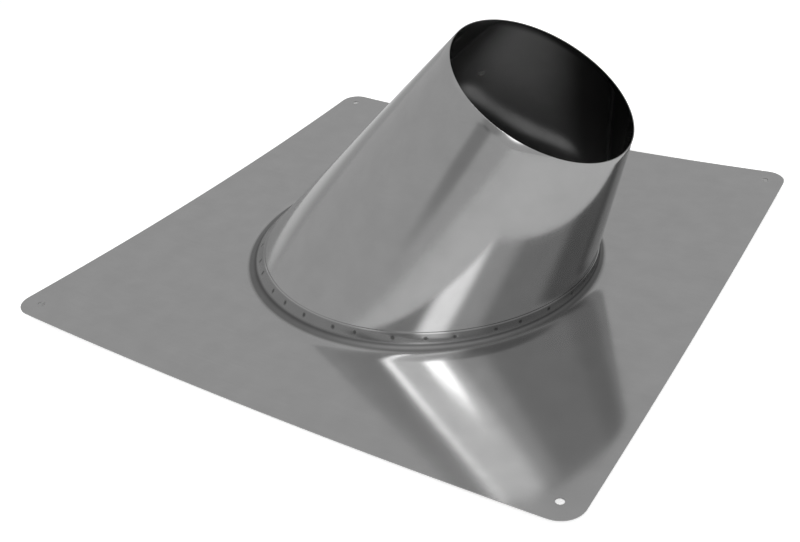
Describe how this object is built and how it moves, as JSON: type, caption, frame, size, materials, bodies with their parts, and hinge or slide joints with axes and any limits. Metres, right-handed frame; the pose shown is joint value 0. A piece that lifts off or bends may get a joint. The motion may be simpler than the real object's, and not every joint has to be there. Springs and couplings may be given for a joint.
{
  "type": "roof flashing",
  "caption": "Square sheet-metal roof flashing with a tapered collar that leans for a flue through a 30 degree roof.",
  "frame": {"origin": "centre of the square base plate, level with the circle round the seat that the plate rests on", "axes": "+Z away from the roof, +X uphill, the way the collar leans, +Y across the roof"},
  "size_m": [0.5, 0.5, 0.2065],
  "materials": {
    "plate_steel": "bright annealed stainless sheet, smooth satin, mirrors softly",
    "collar_steel": "bright annealed stainless sheet rolled to a taper, faint rolling streaks along it"
  },
  "bodies": {
    "root": {"base_plate": "plate_steel", "collar": "collar_steel"}
  },
  "joints": []
}
